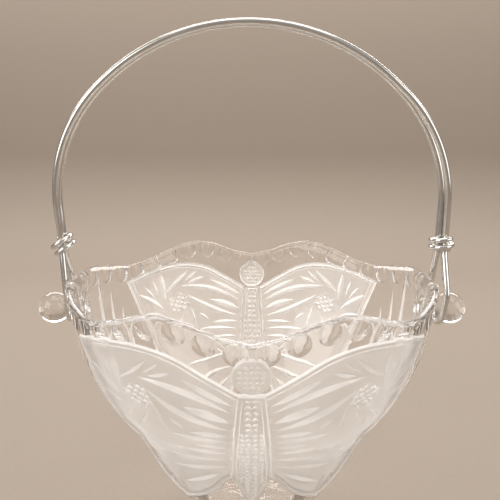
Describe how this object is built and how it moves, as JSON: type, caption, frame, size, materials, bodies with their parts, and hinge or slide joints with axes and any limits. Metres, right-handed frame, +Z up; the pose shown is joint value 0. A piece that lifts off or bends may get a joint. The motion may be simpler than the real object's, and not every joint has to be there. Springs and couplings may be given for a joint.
{
  "type": "glass basket",
  "caption": "Oval clear glass basket with a wavy thumbprinted rim, raised satin butterflies, ball knobs and a swinging bail of doubled bright wire.",
  "frame": {"origin": "on the table, under the middle of the bowl", "axes": "+Z up, +X along the line of the two knobs, the front of the bowl faces -Y"},
  "size_m": [0.212, 0.1484, 0.2441],
  "materials": {
    "pressed_glass": "clear and fire polished, satin on the butterflies",
    "bright_wire": "polished"
  },
  "bodies": {
    "bowl": {"glass_bowl": "pressed_glass"},
    "bail": {"bail_wire": "bright_wire", "left_wrap": "bright_wire", "right_wrap": "bright_wire"}
  },
  "joints": [
    {"name": "bail_swing", "type": "hinge", "parent": "bowl", "child": "bail", "pos_m": [0, 0, 0.11], "axis": [1, 0, 0], "range_deg": [-140, 140]}
  ]
}
